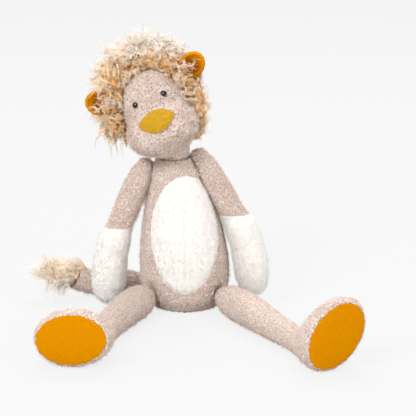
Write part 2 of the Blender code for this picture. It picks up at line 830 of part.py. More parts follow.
def leg_rings(side, inset=0.0):
    # Each row: distance from the hip, half width, half length, shift towards the toes, height.
    line, length = leg_route(side)
    roll = foot_roll(side)
    ankle_at = length - FOOT_LENGTH
    root = root_sections(LEG_ROOT_RADIUS) + [(0, LEG_ROOT_RADIUS)]
    rows = [(distance, radius, radius, 0, THIGH_RADIUS) for distance, radius in root]
    for share, swell in LEG_SHARES:
        radius = LEG_ROOT_RADIUS + (THIGH_RADIUS - LEG_ROOT_RADIUS) * swell
        height = THIGH_RADIUS if share < KNEE_SHARE else radius
        rows.append((ankle_at * share, radius, radius, 0, height))
    full_reach = foot_reach(FOOT_HALF_WIDTH, FOOT_HALF_LENGTH, roll)
    for index, (share, swell) in enumerate(FOOT_SHARES):
        half_width = ANKLE_RADIUS + (FOOT_HALF_WIDTH - ANKLE_RADIUS) * swell
        half_length = ANKLE_RADIUS + (FOOT_HALF_LENGTH - ANKLE_RADIUS) * swell
        last = index == len(FOOT_SHARES) - 1
        height = full_reach if last else foot_reach(half_width, half_length, roll)
        distance = ankle_at + FOOT_LENGTH * share
        rows.append((distance, half_width, half_length, half_length - half_width, height))
    toe_shift = FOOT_HALF_LENGTH - FOOT_HALF_WIDTH
    for crown_share, size_share in SOLE_SHARES:
        half_width = (FOOT_HALF_WIDTH - SOLE_BORDER) * size_share
        half_length = (FOOT_HALF_LENGTH - SOLE_BORDER) * size_share
        rows.append((length + SOLE_CROWN * crown_share, half_width, half_length, toe_shift, full_reach))

    rings = [[station(line, -LEG_ROOT_RADIUS)[0]]]
    for distance, half_width, half_length, shift, height in rows:
        centre, across, upward = section(line, distance, half_width, half_length, Vector((0, 0, 1)), roll)
        centre = centre + upward.normalized() * shift
        centre.z = height - THIGH_RADIUS
        rings.append(oval_ring(centre, across, upward, FOOT_SIDES))
    rings.append([centre + station(line, length)[1] * SOLE_CROWN * (1 - SOLE_SHARES[-1][0])])
    return inset_rings(rings, inset) if inset else rings


def leg_axis(side):
    rest = leg_direction(side)
    return rest.cross(Vector((0, 0, 1))).normalized()


def leg_direction(side):
    line, length = leg_route(side)
    return station(line, length * LEG_SHARES[0][0])[1]


def build_leg(name, side, body, materials):
    outer = leg_rings(side)
    inner = leg_rings(side, COVER_WALL)
    rim = len(outer) - len(SOLE_SHARES) - 1
    cover = cover_mesh(drawn_back(outer[:rim + 1]), drawn_back(inner[:rim + 1]))
    make_piece("leg_" + name, cover, body, materials["boucle"])
    sole = cover_mesh(drawn_back(outer[rim:]), drawn_back(inner[rim:]))
    make_piece("sole_" + name, sole, body, materials["linen"])
    filled = closed_mesh(leg_rings(side, COVER_WALL + SEAM_GAP))
    make_piece("leg_filling_" + name, filled, body, materials["filling"])


def leg_fan(name, side, body):
    thigh = leg_rings(side, -MOVING_GAP)[:-len(FOOT_SHARES) - len(SOLE_SHARES) - 1]
    return make_cutter("leg_fan_" + name, fan_mesh(thigh, leg_axis(side), LEG_DROP, LEG_LIFT), body)


# Tail

def tail_route():
    # Along the floor behind the arm, then up at the end where the tuft falls outwards.
    length = TAIL_LENGTH + TUFT_LENGTH
    points = [Vector()]
    for out_share, back_share, up_share in TAIL_ROUTE_SHARES:
        points.append(Vector((-out_share, back_share, up_share)) * length)
    return smooth_route(points)


def tail_rings(inset=0.0):
    line = tail_route()
    rings = [[station(line, -TAIL_ROOT_RADIUS)[0]]]
    rows = root_sections(TAIL_ROOT_RADIUS)
    rows.append((0, TAIL_ROOT_RADIUS))
    rows += [(TAIL_LENGTH * share, TAIL_RADIUS * radius_share) for share, radius_share in TAIL_SHARES]
    for distance, radius in rows:
        rings.append(oval_ring(*section(line, distance, radius, radius, Vector((0, 0, 1))), LIMB_SIDES))
    rings.append([station(line, TAIL_LENGTH)[0]])
    return inset_rings(rings, inset) if inset else rings


def tuft_rings():
    # The tuft starts on the tail's end section, a seam's gap further on.
    line = tail_route()
    end, direction = station(line, TAIL_LENGTH)
    step = direction * SEAM_GAP
    end_radius = TAIL_RADIUS * TAIL_SHARES[-1][1]
    end_ring = oval_ring(*section(line, TAIL_LENGTH, end_radius, end_radius, Vector((0, 0, 1))), LIMB_SIDES)
    rings = [[end + step], [point + step for point in end_ring]]
    for share, radius_share in TUFT_SHARES:
        distance = TAIL_LENGTH + TUFT_LENGTH * share
        radius = TUFT_RADIUS * radius_share
        rings.append(oval_ring(*section(line, distance, radius, radius, Vector((0, 0, 1))), LIMB_SIDES))
    rings.append([station(line, TAIL_LENGTH + TUFT_LENGTH)[0]])
    return rings


def build_tail(body, materials):
    outer = tail_rings()
    inner = tail_rings(COVER_WALL)
    cover = cover_mesh(outer[:-1], inner[:-1])
    make_piece("tail_cover", cover, body, materials["boucle"])
    make_piece("tail_filling", closed_mesh(tail_rings(COVER_WALL + SEAM_GAP)), body, materials["filling"])
    make_piece("tail_tuft", closed_mesh(tuft_rings()), body, materials["pile"])


def build():
    clear_scene()
    materials = make_materials()
    torso = make_body("torso", Vector())
    neck = make_body("neck", neck_pivot(), torso)
    roll = Matrix.Rotation(HEAD_ROLL, 3, "Y")
    yaw = Matrix.Rotation(HEAD_YAW, 3, "Z")
    pitch = Matrix.Rotation(HEAD_PITCH, 3, "X")
    head = make_body("head", neck_pivot(), None, roll @ yaw @ pitch)
    tail = make_body("tail", root_place(TAIL_HEIGHT, TAIL_ANGLE), torso)
    fans = []
    for name, side in (("left", 1), ("right", -1)):
        arm = make_body("arm_" + name, shoulder(side), torso)
        leg = make_body("leg_" + name, hip(side), torso)
        build_arm(name, side, arm, materials)
        build_leg(name, side, leg, materials)
        fans += [arm_fan(name, side, arm), leg_fan(name, side, leg)]
    tail_ball = ball_mesh(Vector(), TAIL_ROOT_RADIUS + MOVING_GAP, LIMB_SIDES)
    fans.append(make_cutter("tail_seat", tail_ball, tail))
    build_torso(torso, fans, materials)
    build_neck(neck, materials)
    build_head(head, shoulder_yoke(neck), materials)
    build_tail(tail, materials)


build()
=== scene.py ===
# Plush lion: cloth skins with looped knit, long curly mane, white plush, linen soles and felt nose.
import json
import math

import bpy
import numpy as np
from mathutils import Matrix, Vector
from mathutils.bvhtree import BVHTree

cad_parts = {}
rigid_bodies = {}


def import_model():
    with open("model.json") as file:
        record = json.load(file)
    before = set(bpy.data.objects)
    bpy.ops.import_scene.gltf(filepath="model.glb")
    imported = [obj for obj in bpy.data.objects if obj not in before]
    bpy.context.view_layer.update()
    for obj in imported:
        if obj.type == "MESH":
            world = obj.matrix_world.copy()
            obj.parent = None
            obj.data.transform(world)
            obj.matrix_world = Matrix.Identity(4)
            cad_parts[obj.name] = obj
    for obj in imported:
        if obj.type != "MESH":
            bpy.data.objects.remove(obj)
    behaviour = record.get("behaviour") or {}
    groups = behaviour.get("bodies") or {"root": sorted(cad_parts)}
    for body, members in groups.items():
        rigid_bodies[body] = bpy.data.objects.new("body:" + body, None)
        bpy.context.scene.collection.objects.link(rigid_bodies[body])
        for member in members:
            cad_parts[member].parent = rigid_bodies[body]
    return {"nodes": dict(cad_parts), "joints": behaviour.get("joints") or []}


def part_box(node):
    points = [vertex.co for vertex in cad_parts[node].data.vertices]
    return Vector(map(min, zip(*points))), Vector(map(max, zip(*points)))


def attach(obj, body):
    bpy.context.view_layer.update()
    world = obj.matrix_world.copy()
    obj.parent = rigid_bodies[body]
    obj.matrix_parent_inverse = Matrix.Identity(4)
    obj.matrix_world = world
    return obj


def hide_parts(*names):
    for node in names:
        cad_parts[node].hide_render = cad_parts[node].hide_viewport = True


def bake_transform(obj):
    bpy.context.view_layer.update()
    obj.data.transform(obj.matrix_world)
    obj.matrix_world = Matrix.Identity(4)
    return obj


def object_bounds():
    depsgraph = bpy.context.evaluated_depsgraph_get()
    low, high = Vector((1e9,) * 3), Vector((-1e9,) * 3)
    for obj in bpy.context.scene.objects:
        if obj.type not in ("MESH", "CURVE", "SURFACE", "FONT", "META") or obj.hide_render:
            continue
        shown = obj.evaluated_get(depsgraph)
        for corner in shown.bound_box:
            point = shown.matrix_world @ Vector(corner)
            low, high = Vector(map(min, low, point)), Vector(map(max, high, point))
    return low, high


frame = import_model()
cadBox = [list(corner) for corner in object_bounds()]
nodes = frame["nodes"]
joints = {joint["name"]: joint for joint in frame["joints"]}


# picking and copying

def deselectAll():
    if bpy.context.mode != "OBJECT":
        bpy.ops.object.mode_set(mode="OBJECT")
    bpy.ops.object.select_all(action="DESELECT")


def pick(piece):
    deselectAll()
    piece.select_set(True)
    bpy.context.view_layer.objects.active = piece


def copyOfNodes(name, nodeNames):  # one merged mesh from copies of CAD nodes
    copies = []
    for nodeName in nodeNames:
        double = bpy.data.objects.new(name, nodes[nodeName].data.copy())
        bpy.context.scene.collection.objects.link(double)
        copies.append(double)
    deselectAll()
    for double in copies:
        double.select_set(True)
    bpy.context.view_layer.objects.active = copies[0]
    if len(copies) > 1:
        bpy.ops.object.join()
    piece = bpy.context.view_layer.objects.active
    piece.name = name
    piece.data.materials.clear()
    bpy.ops.object.mode_set(mode="EDIT")
    bpy.ops.mesh.select_all(action="SELECT")
    bpy.ops.mesh.remove_doubles(threshold=0.00001)
    bpy.ops.object.mode_set(mode="OBJECT")
    return piece


def useModifier(piece, kind, **settings):  # adds a modifier and applies it
    pick(piece)
    modifier = piece.modifiers.new(kind.lower(), kind)
    for setting, value in settings.items():
        setattr(modifier, setting, value)
    bpy.ops.object.modifier_apply(modifier=modifier.name)


def softForm(name, nodeNames, voxel, smoothing):  # closed even skin over a cover and its filling
    piece = copyOfNodes(name, nodeNames)
    piece.data.remesh_voxel_size = voxel
    pick(piece)
    bpy.ops.object.voxel_remesh()
    useModifier(piece, "SMOOTH", factor=0.5, iterations=smoothing)
    bpy.ops.object.shade_smooth()
    return piece


def meshLists(node):
    points = [vertex.co for vertex in node.data.vertices]
    return points, [tuple(face.vertices) for face in node.data.polygons]


def pointsOf(piece):
    points = np.empty(len(piece.data.vertices) * 3)
    piece.data.vertices.foreach_get("co", points)
    return points.reshape(-1, 3)


def normalsOf(piece):
    normals = np.empty(len(piece.data.vertices) * 3)
    piece.data.vertices.foreach_get("normal", normals)
    return normals.reshape(-1, 3)


def setPoints(piece, points):
    piece.data.vertices.foreach_set("co", np.asarray(points, float).ravel())
    piece.data.update()


def faceCentres(piece):
    centres = np.empty(len(piece.data.polygons) * 3)
    piece.data.polygons.foreach_get("center", centres)
    return centres.reshape(-1, 3)


def splitOff(piece, chosen, name):  # the chosen faces become a piece of their own
    pick(piece)
    bpy.ops.object.mode_set(mode="EDIT")
    bpy.ops.mesh.select_mode(type="FACE")
    bpy.ops.mesh.select_all(action="DESELECT")
    bpy.ops.object.mode_set(mode="OBJECT")
    piece.data.polygons.foreach_set("select", np.asarray(chosen, bool))
    bpy.ops.object.mode_set(mode="EDIT")
    bpy.ops.mesh.separate(type="SELECTED")
    bpy.ops.object.mode_set(mode="OBJECT")
    other = [thing for thing in bpy.context.selected_objects if thing is not piece][0]
    other.name = name
    return other


def swell(piece, kind, size, depth, middle=0.5):  # loops and lumps of the cloth, raised along its normals
    texture = bpy.data.textures.new(piece.name + kind, kind)
    texture.noise_scale = size
    useModifier(piece, "DISPLACE", texture=texture, strength=depth, mid_level=middle, texture_coords="LOCAL")


# strands

tiny = 1e-9
steep = 0.8  # a direction that points up by more than this is squared to +X instead of +Z
strandRoom = {"margin": 0.017, "floor": 0.001, "least": 0.05}
strandShape = {"taper": 0.72, "taperPower": 1.5, "curlRise": 0.7, "uvInset": 0.01}


def scatter(base, count, rng, weight=None):  # even places on a mesh with their normals
    base.data.calc_loop_triangles()
    corners = np.empty(len(base.data.loop_triangles) * 3, int)
    base.data.loop_triangles.foreach_get("vertices", corners)
    corners = corners.reshape(-1, 3)
    points = pointsOf(base)
    normals = normalsOf(base)
    first, second, third = (points[corners[:, index]] for index in range(3))
    area = np.linalg.norm(np.cross(second - first, third - first), axis=1)
    if weight is not None:
        area = area * weight((first + second + third) / 3)
    chosen = rng.choice(len(area), count, p=area / area.sum())
    share = rng.random((count, 2))
    over = share.sum(axis=1) > 1
    share[over] = 1 - share[over]
    part = share[:, :1], share[:, 1:]
    place = first[chosen] + (second - first)[chosen] * part[0] + (third - first)[chosen] * part[1]
    normal = normals[corners[chosen]].mean(axis=1)
    return place, unit(normal)


def unit(vectors):
    return vectors / np.maximum(np.linalg.norm(vectors, axis=-1, keepdims=True), tiny)


def squareTo(directions):  # two directions across each given one
    helper = np.where(np.abs(directions[..., 2:]) < steep, (0.0, 0.0, 1.0), (1.0, 0.0, 0.0))
    side = unit(np.cross(directions, helper))
    return side, np.cross(directions, side)


def keepNear(lines):  # strands that would leave the toy's box by too much, or enter the floor, are shortened
    root = lines[:, :1]
    reach = lines - root
    low = np.array(cadBox[0]) - strandRoom["margin"]
    high = np.array(cadBox[1]) + strandRoom["margin"]
    low[2] = strandRoom["floor"]
    room = np.where(reach > 0, high - root, root - low) / np.maximum(np.abs(reach), tiny)
    return root + reach * np.clip(room.min(axis=(1, 2)), strandRoom["least"], 1)[:, None, None]


def strandMesh(name, lines, radius, tones):  # three-sided tapering tubes along (count, steps, 3) points
    count, steps, _ = lines.shape
    lines = keepNear(lines)
    along = unit(np.gradient(lines, axis=1))
    side, other = squareTo(along)
    taper = (1 - strandShape["taper"] * np.linspace(0, 1, steps) ** strandShape["taperPower"])[None, :, None]
    radius = np.broadcast_to(np.asarray(radius, float), (count,))[:, None, None] * taper
    rows = []
    for corner in range(3):
        angle = math.tau * corner / 3
        rows.append(lines + (side * math.cos(angle) + other * math.sin(angle)) * radius)
    points = np.stack(rows, axis=2)[:, :-1].reshape(count, -1, 3)
    points = np.concatenate([points, lines[:, -1:]], axis=1)
    perStrand = points.shape[1]
    faces = [(2, 1, 0)]
    for step in range(steps - 2):
        for corner in range(3):
            low, lowNext = step * 3 + corner, step * 3 + (corner + 1) % 3
            faces += [(low, lowNext, lowNext + 3), (low, lowNext + 3, low + 3)]
    for corner in range(3):
        faces.append(((steps - 2) * 3 + corner, (steps - 2) * 3 + (corner + 1) % 3, perStrand - 1))
    faces = np.array(faces)
    allFaces = (faces[None] + (np.arange(count) * perStrand)[:, None, None]).reshape(-1, 3)
    data = bpy.data.meshes.new(name)
    data.vertices.add(count * perStrand)
    data.vertices.foreach_set("co", points.ravel())
    data.loops.add(allFaces.size)
    data.loops.foreach_set("vertex_index", allFaces.ravel())
    data.polygons.add(len(allFaces))
    data.polygons.foreach_set("loop_start", np.arange(0, allFaces.size, 3))
    data.update(calc_edges=True)
    way = np.append(np.repeat(np.linspace(0, 1, steps)[:-1], 3), 1.0)
    uv = np.empty((count, faces.size, 2))
    uv[..., 0] = np.asarray(tones)[:, None]
    uv[..., 1] = way[faces.ravel()][None]
    inset = strandShape["uvInset"]
    data.uv_layers.new(name="OFBake").data.foreach_set("uv", (uv * (1 - 2 * inset) + inset).ravel())
    data.shade_smooth()
    piece = bpy.data.objects.new(name, data)
    bpy.context.scene.collection.objects.link(piece)
    return piece


def strandLines(place, direction, length, steps, sag, curl, turns, rng):
    # curved lines from each place: straight out, bowed by sag, wound round their own way by curl
    count = len(place)
    share = np.linspace(0, 1, steps)[None, :, None]
    length = np.broadcast_to(np.asarray(length, float), (count,))[:, None, None]
    line = place[:, None] + direction[:, None] * length * share
    line = line + np.broadcast_to(sag, (count, 3))[:, None] * length * share ** 2
    side, other = squareTo(direction)
    phase = rng.random((count, 1, 1)) * math.tau + share * turns * math.tau
    wind = side[:, None] * np.cos(phase) + other[:, None] * np.sin(phase)
    wind = wind - wind[:, :1]
    curl = np.broadcast_to(np.asarray(curl, float), (count,))[:, None, None]
    return line + wind * curl * share ** strandShape["curlRise"]


# shader notation: expressions on Value add their Math nodes

class Value:
    def __init__(self, tree, socket):
        self.tree = tree
        self.socket = socket

    def math(self, operation, first, second):
        node = self.tree.nodes.new("ShaderNodeMath")
        node.operation = operation
        for slot, value in enumerate((first, second)):
            if isinstance(value, Value):
                self.tree.links.new(value.socket, node.inputs[slot])
            else:
                node.inputs[slot].default_value = value
        return Value(self.tree, node.outputs[0])

    def __add__(self, other):
        return self.math("ADD", self, other)

    def __radd__(self, other):
        return self.math("ADD", other, self)

    def __sub__(self, other):
        return self.math("SUBTRACT", self, other)

    def __rsub__(self, other):
        return self.math("SUBTRACT", other, self)

    def __mul__(self, other):
        return self.math("MULTIPLY", self, other)

    def __rmul__(self, other):
        return self.math("MULTIPLY", other, self)

    def __abs__(self):
        return self.math("ABSOLUTE", self, 0)


pitShadeShape = {"planeLow": 0.50, "planeHigh": 0.64, "inner": 0.5, "outer": 1.3}


class Finish:  # one material being built
    def __init__(self, name):
        self.material = bpy.data.materials.new(name)
        self.material.use_nodes = True
        self.tree = self.material.node_tree
        self.shader = self.tree.nodes["Principled BSDF"]

    def node(self, kind, settings=None, inputs=None, output=0):
        node = self.tree.nodes.new("ShaderNode" + kind)
        for setting, value in (settings or {}).items():
            if setting == "stops":
                ramp = node.color_ramp
                while len(ramp.elements) < len(value):
                    ramp.elements.new(0.5)
                for element, (place, colour) in zip(ramp.elements, value):
                    element.position = place
                    element.color = (*colour, 1)
            else:
                setattr(node, setting, value)
        for socket, value in (inputs or {}).items():
            if isinstance(value, Value):
                self.tree.links.new(value.socket, node.inputs[socket])
            else:
                node.inputs[socket].default_value = value
        return Value(self.tree, node.outputs[output])

    def place(self):  # the point in the object's own space
        return self.node("TexCoord", output=3)

    def stretched(self, scale):
        return self.node("Mapping", inputs={"Vector": self.place(), "Scale": scale})

    def noise(self, scale, detail=2.0, rough=0.5, vector=None):
        return self.node("TexNoise", inputs={
            "Vector": vector or self.place(), "Scale": scale, "Detail": detail, "Roughness": rough,
        })

    def mixed(self, factor, low, high):
        settings = {"data_type": "RGBA"}
        low = low if isinstance(low, Value) else (*low, 1)
        high = high if isinstance(high, Value) else (*high, 1)
        return self.node("Mix", settings, {0: factor, 6: low, 7: high}, output=2)

    def ramp(self, factor, stops):
        return self.node("ValToRGB", {"stops": stops}, {0: factor})

    def span(self, value, low, high, start=0.0, end=1.0):
        return self.node("MapRange", {"clamp": True}, {
            "Value": value, "From Min": low, "From Max": high, "To Min": start, "To Max": end,
        })

    def axis(self, vector, index):
        return self.node("SeparateXYZ", inputs={0: vector}, output=index)

    def specks(self, spacing, randomness, size):  # painted shade: dark spots spread evenly on each of three planes, for the pits between the loops
        place, facing = self.place(), self.node("TexCoord", output=1)
        spots = None
        for across, up, out in ((0, 2, 1), (1, 2, 0), (0, 1, 2)):
            plane = self.node("CombineXYZ", inputs={0: self.axis(place, across), 1: self.axis(place, up)})
            near = self.node("TexVoronoi", {"voronoi_dimensions": "2D"}, {
                "Vector": plane, "Scale": 1 / spacing, "Randomness": randomness})
            share = self.span(abs(self.axis(facing, out)), pitShadeShape["planeLow"], pitShadeShape["planeHigh"])
            spot = self.span(near, size * pitShadeShape["inner"], size * pitShadeShape["outer"], 1, 0) * share
            spots = spot if spots is None else spots.math("MAXIMUM", spots, spot)
        return spots

    def done(self, colour, rough, height=None, depth=0.001, strength=1.0, **fixed):
        for socket, value in {"Base Color": colour, "Roughness": rough}.items():
            if isinstance(value, Value):
                self.tree.links.new(value.socket, self.shader.inputs[socket])
            else:
                self.shader.inputs[socket].default_value = value
        if height is not None:
            bump = self.node("Bump", inputs={"Height": height, "Distance": depth, "Strength": strength})
            self.tree.links.new(bump.socket, self.shader.inputs["Normal"])
        for socket, value in fixed.items():
            self.shader.inputs[socket.replace("_", " ")].default_value = value
        return self.material


def colour(red, green, blue):  # written as seen on a screen, 0 to 255
    def linear(value):
        value /= 255
        return value / 12.92 if value <= 0.04045 else ((value + 0.055) / 1.055) ** 2.4
    return linear(red), linear(green), linear(blue)


# finishes

clothRough = 0.95
faceLook = {
    "light": (246, 228, 219), "warm": (198, 167, 153), "dark": (96, 68, 58), "wool": 360, "blotch": 0.45,
    "spacing": 0.0050, "randomness": 0.80, "speck": 0.20, "strength": 0.85,
}
boucleLook = {
    "light": (254, 239, 229), "warm": (207, 173, 155), "dark": (94, 62, 48), "wool": 480, "blotch": 0.15,
    "spacing": 0.0032, "randomness": 1.0, "speck": 0.20, "strength": 0.60,
}
yarnLook = {
    "chance": (0.35, 0.60, 0.35, 1), "wool": (0.40, 0.62), "patchScale": 46, "patches": (0.38, 0.64),
    "yarnScale": 1300, "height": 0.8, "woolDip": 0.8, "speckDip": 0.5, "yarnRise": 0.2, "relief": 0.0016,
    "bump": 0.9,
}
plushLook = {
    "light": (252, 250, 247), "shade": (240, 234, 227), "tufts": 420, "tuftSpan": (0.35, 0.7),
    "relief": 0.0012, "bump": 0.5,
}
linenLook = {
    "light": (214, 141, 2), "dark": (195, 120, 2), "deep": (140, 78, 14), "thread": 0.0009, "perThread": 6.28,
    "slubs": (260, 260, 1600), "slubSpan": (0.3, 0.7), "gaps": 0.35, "footStart": 0.35, "footShade": 0.9,
    "cupStart": 0.28, "cupEnd": 0.52, "cupShade": 0.6, "slubHeight": 0.5, "relief": 0.0003, "bump": 0.6,
}
feltLook = {
    "light": (194, 149, 34), "dark": (158, 116, 18), "clouds": 160, "cloudSpan": (0.35, 0.68),
    "cloudShare": 0.4, "fibres": 700, "fibreSpan": (0.45, 0.70), "fibreShare": 0.6, "relief": 0.0006,
    "bump": 0.7,
}
eyeLook = {
    "dark": (0.003, 0.003, 0.003), "light": (0.007, 0.006, 0.005), "clouds": 300, "rough": 0.05, "ior": 1.45,
}
washerLook = {"light": (226, 226, 222), "dark": (214, 214, 208), "clouds": 500, "rough": 0.45}
hairLook = {"rough": 0.9, "specular": 0.1}
# the low end of the ramp, at the roots, is partly the mane's own tan and partly painted warm shade deep in
# the mane
maneLook = [
    (0.00, (208, 132, 52)), (0.25, (240, 180, 106)), (0.45, (252, 214, 164)), (0.68, (255, 235, 207)),
    (1.00, (255, 251, 246)),
]
beigeLook = [(0, (210, 178, 161)), (0.5, (240, 220, 207)), (1, (255, 244, 235))]
whiteLook = [(0, (250, 247, 243)), (1, (255, 254, 252))]


def boucleFinish(name, look):
    finish = Finish(name)
    # painted shade: the dark colour goes in spots in the pits between the loops
    specks = finish.specks(look["spacing"], look["randomness"], look["speck"])
    chance = finish.span(finish.noise(1 / look["spacing"], 1), *yarnLook["chance"])
    wool = finish.span(finish.noise(look["wool"], 3, 0.6), *yarnLook["wool"])
    patches = finish.span(finish.noise(yarnLook["patchScale"], 2), *yarnLook["patches"])
    # the warm tone is partly random blotches and partly painted shade in the dips of the woolly loops
    share = patches * look["blotch"] + wool * (1 - look["blotch"])
    cloth = finish.mixed(share, colour(*look["light"]), colour(*look["warm"]))
    cloth = finish.mixed(specks * chance * look["strength"], cloth, colour(*look["dark"]))
    yarn = finish.noise(yarnLook["yarnScale"], 2)
    height = yarnLook["height"] + wool * -yarnLook["woolDip"] + specks * -yarnLook["speckDip"]
    height = height + yarn * yarnLook["yarnRise"]
    return finish.done(cloth, clothRough, height, yarnLook["relief"], yarnLook["bump"],
                       Sheen_Weight=0.2, Sheen_Roughness=0.5)


def plushFinish():
    look = plushLook
    finish = Finish("plush")
    tufts = finish.noise(look["tufts"], 3)
    share = finish.span(tufts, *look["tuftSpan"])
    shade = finish.mixed(share, colour(*look["shade"]), colour(*look["light"]))
    return finish.done(shade, clothRough, tufts, look["relief"], look["bump"],
                       Sheen_Weight=0.4, Sheen_Roughness=0.6)


def linenFinish(name, foot=None, reach=0.0, middle=None):  # an ear's cloth gets painted shade: darker in its cup and towards its foot
    look = linenLook
    finish = Finish(name)
    slubs = finish.noise(1, 2, vector=finish.stretched(look["slubs"]))
    threads = {
        "Vector": finish.place(), "Scale": 1 / look["thread"] / look["perThread"], "Distortion": 1.2,
        "Detail": 1.0, "Detail Scale": 2.0,
    }
    warp = finish.node("TexWave", {"wave_type": "BANDS", "bands_direction": "X"}, threads, 1)
    weft = finish.node("TexWave", {"wave_type": "BANDS", "bands_direction": "Z"}, threads, 1)
    weave = warp * 0.5 + weft * 0.5
    tone = finish.mixed(finish.span(slubs, *look["slubSpan"]), colour(*look["light"]), colour(*look["dark"]))
    tone = finish.mixed((1 - weave) * look["gaps"], tone, colour(*look["dark"]))
    if foot is not None:
        way = finish.node("VectorMath", {"operation": "DISTANCE"}, {0: finish.place(), 1: tuple(foot)}, 1)
        cup = finish.node("VectorMath", {"operation": "DISTANCE"}, {0: finish.place(), 1: tuple(middle)}, 1)
        # painted shade: the linen darkens towards the ear's foot and into its cup
        shade = finish.span(way, reach * look["footStart"], reach, look["footShade"], 0)
        paintedCupShade = finish.span(cup, reach * look["cupStart"], reach * look["cupEnd"], look["cupShade"], 0)
        tone = finish.mixed(finish.span(shade + paintedCupShade, 0, 1), tone, colour(*look["deep"]))
    height = weave + slubs * look["slubHeight"]
    return finish.done(tone, clothRough, height, look["relief"], look["bump"], Specular_IOR_Level=0.0)


def feltFinish():
    look = feltLook
    finish = Finish("felt")
    cloud = finish.noise(look["clouds"], 4, 0.6)
    fibres = finish.noise(look["fibres"], 3)
    share = finish.span(cloud, *look["cloudSpan"]) * look["cloudShare"]
    share = share + finish.span(fibres, *look["fibreSpan"]) * look["fibreShare"]
    tone = finish.mixed(share, colour(*look["light"]), colour(*look["dark"]))
    height = cloud * look["cloudShare"] + fibres * look["fibreShare"]
    return finish.done(tone, clothRough, height, look["relief"], look["bump"], Specular_IOR_Level=0.1)


def strandFinish(name, stops, byLock):  # colour by the strand's own tone and by the way along it
    finish = Finish(name)
    way = finish.axis(finish.node("UVMap", {"uv_map": "OFBake"}), 1)
    tone = finish.axis(finish.node("UVMap", {"uv_map": "OFBake"}), 0)
    stops = [(place, colour(*seen)) for place, seen in stops]
    strand = finish.ramp(tone * byLock + way * (1 - byLock), stops)
    return finish.done(strand, hairLook["rough"], Specular_IOR_Level=hairLook["specular"])


def glossFinish():
    finish = Finish("eye")
    tone = finish.mixed(finish.noise(eyeLook["clouds"], 2), eyeLook["dark"], eyeLook["light"])
    return finish.done(tone, eyeLook["rough"], IOR=eyeLook["ior"])


def plasticFinish():
    finish = Finish("washer")
    clouds = finish.noise(washerLook["clouds"], 2)
    tone = finish.mixed(clouds, colour(*washerLook["light"]), colour(*washerLook["dark"]))
    return finish.done(tone, washerLook["rough"])


boucle = boucleFinish("boucle", boucleLook)
faceCloth = boucleFinish("faceCloth", faceLook)
plush = plushFinish()
linen = linenFinish("linen")
felt = feltFinish()
gloss = glossFinish()
washer = plasticFinish()
maneHair = strandFinish("maneHair", maneLook, 0.60)
beigeHair = strandFinish("beigeHair", beigeLook, 0.6)
whiteHair = strandFinish("whiteHair", whiteLook, 0.5)
print("finishes made")


def dress(piece, material, body, replaced=()):
    piece.data.materials.clear()
    piece.data.materials.append(material)
    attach(piece, body)
    finishPiece(replaced)


def dressBlend(piece, material, replaced=()):
    piece.data.materials.clear()
    piece.data.materials.append(material)
    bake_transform(piece)
    finishPiece(replaced)


def finishPiece(replaced):
    if replaced:
        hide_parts(*replaced)


fuzzLook = {
    "length": 0.0046, "radius": 0.00026, "steps": 4, "spread": 1.2, "lay": (0, 0, -0.2), "curl": 0.0014,
}
pileLook = {
    "length": 0.0036, "radius": 0.00024, "steps": 3, "spread": 0.4, "lay": (0, 0, -0.6), "curl": 0.0005,
}
hairShape = {"shortest": 0.55, "longest": 1.15, "turns": 0.8, "sunk": 0.0004}


def shortHair(base, name, count, seed, look, weight=None, size=1.0):  # fuzz or pile on a cloth
    rng = np.random.default_rng(seed)
    place, normal = scatter(base, count, rng, weight)
    direction = unit(normal + unit(rng.normal(size=normal.shape)) * look["spread"])
    lengths = look["length"] * rng.uniform(hairShape["shortest"], hairShape["longest"], count) * size
    lines = strandLines(place - normal * hairShape["sunk"], direction, lengths, look["steps"],
                        np.array(look["lay"]), look["curl"], hairShape["turns"], rng)
    return strandMesh(name, lines, look["radius"], rng.random(count))


knitLook = {"loops": 0.0042, "height": -0.0022, "middle": 0.35}


def knit(piece):  # round loops raised all over a beige cloth
    swell(piece, "VORONOI", knitLook["loops"], knitLook["height"], knitLook["middle"])


# torso and belly

torsoCut = {"voxel": 0.0017, "smoothing": 10, "fill": 0.85, "fuzz": 5000, "pile": 6000}
bellyCut = {
    "halfWidth": 0.047, "bottom": 0.032, "top": 0.199, "front": -0.03, "seamDepth": 0.0022, "seamWidth": 0.05,
    "centreWidth": 0.0016, "centreShare": 0.7, "lumps": 0.009, "lumpHeight": 0.0014,
}


def makeTorso():
    cut = torsoCut
    covered = ["torso_cover", "belly_panel", "torso_filling", "pellet_bag"]
    torso = softForm("torsoCloth", covered, cut["voxel"], cut["smoothing"])
    middle = (bellyCut["bottom"] + bellyCut["top"]) / 2
    reach = (bellyCut["top"] - bellyCut["bottom"]) / 2

    def oval(points):
        return np.hypot(points[:, 0] / bellyCut["halfWidth"], (points[:, 2] - middle) / reach)

    points = pointsOf(torso)
    front = points[:, 1] < bellyCut["front"]
    tuck = np.exp(-((oval(points) - 1) / bellyCut["seamWidth"]) ** 2) * bellyCut["seamDepth"] * front
    centreSeam = np.exp(-(points[:, 0] / bellyCut["centreWidth"]) ** 2) * bellyCut["seamDepth"]
    centreSeam = centreSeam * bellyCut["centreShare"] * front * (oval(points) < 1)
    setPoints(torso, points - normalsOf(torso) * (tuck + centreSeam)[:, None])
    centres = faceCentres(torso)
    belly = splitOff(torso, (oval(centres) < 1) & (centres[:, 1] < bellyCut["front"]), "bellyPlush")
    knit(torso)
    swell(belly, "CLOUDS", bellyCut["lumps"], bellyCut["lumpHeight"])
    dress(torso, boucle, "torso", ["torso_cover", "torso_filling", "pellet_bag"])
    dress(belly, plush, "torso", ["belly_panel"])
    fuzz = shortHair(torso, "torsoFuzz", cut["fuzz"], 1, fuzzLook)
    dress(fuzz, beigeHair, "torso")
    pile = shortHair(belly, "bellyPile", cut["pile"], 2, pileLook)
    dress(pile, whiteHair, "torso")


